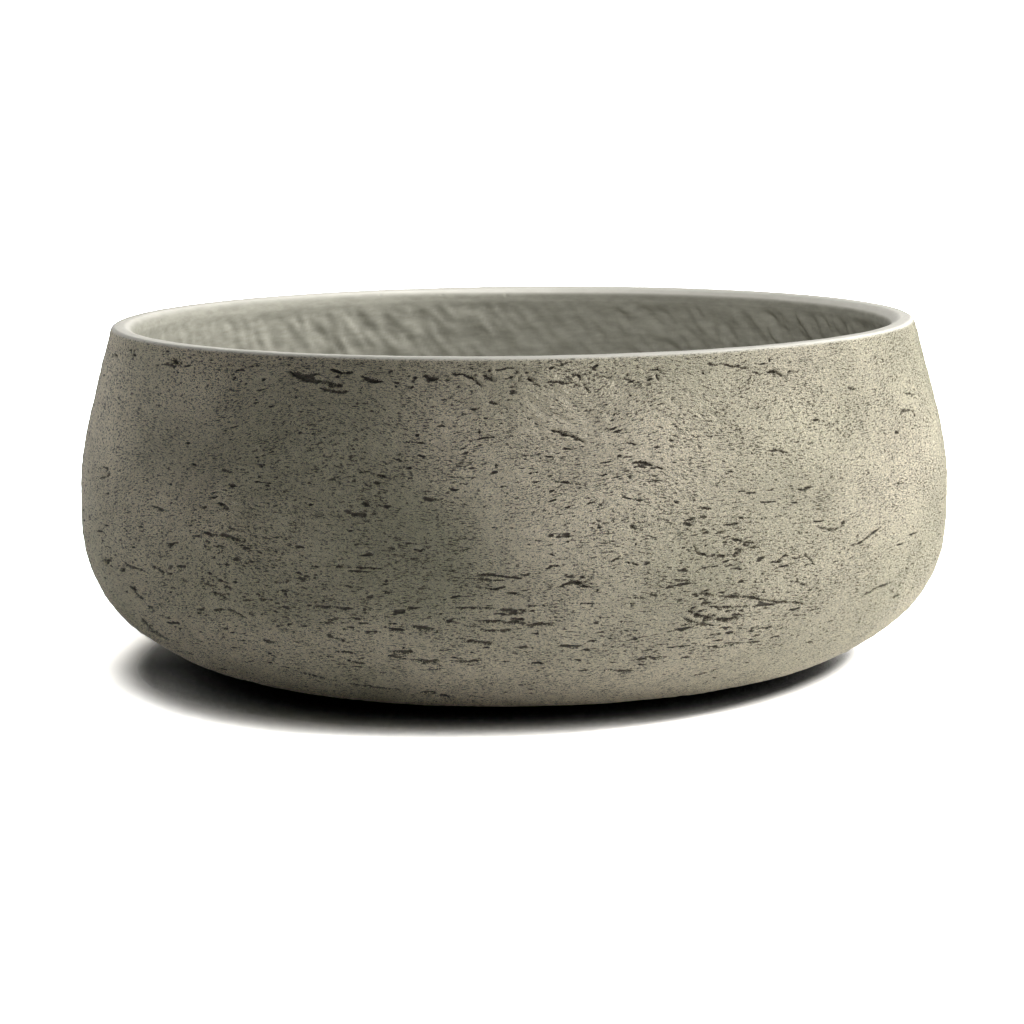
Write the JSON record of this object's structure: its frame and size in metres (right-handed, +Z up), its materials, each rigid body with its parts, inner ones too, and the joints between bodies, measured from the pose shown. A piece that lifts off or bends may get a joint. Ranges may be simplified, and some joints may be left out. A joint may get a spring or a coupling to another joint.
{
  "type": "bowl planter",
  "caption": "Round concrete bowl planter with a wall that leans in to a flat rim, a rubber plug in its drain hole and stick-on floor pads.",
  "frame": {"origin": "on the ground under the middle of the bowl", "axes": "+Z up, along the bowl's axis of revolution; -Y towards the viewer of the picture"},
  "size_m": [0.54, 0.54, 0.2203],
  "materials": {
    "cast_concrete": "raw cast concrete, pale khaki grey, matt and full of small open pits outside, smoother on the rim",
    "plug_rubber": "black moulded rubber, satin",
    "pad_rubber": "grey rubber, matt"
  },
  "bodies": {
    "bowl": {"bowl_shell": "cast_concrete", "floor_pad_1": "pad_rubber", "floor_pad_2": "pad_rubber", "floor_pad_3": "pad_rubber", "floor_pad_4": "pad_rubber"},
    "plug": {"drain_plug": "plug_rubber"}
  },
  "joints": [
    {"name": "plug_lift", "type": "slide", "parent": "bowl", "child": "plug", "axis": [0, 0, 1], "range_m": [0, 0.22]}
  ]
}
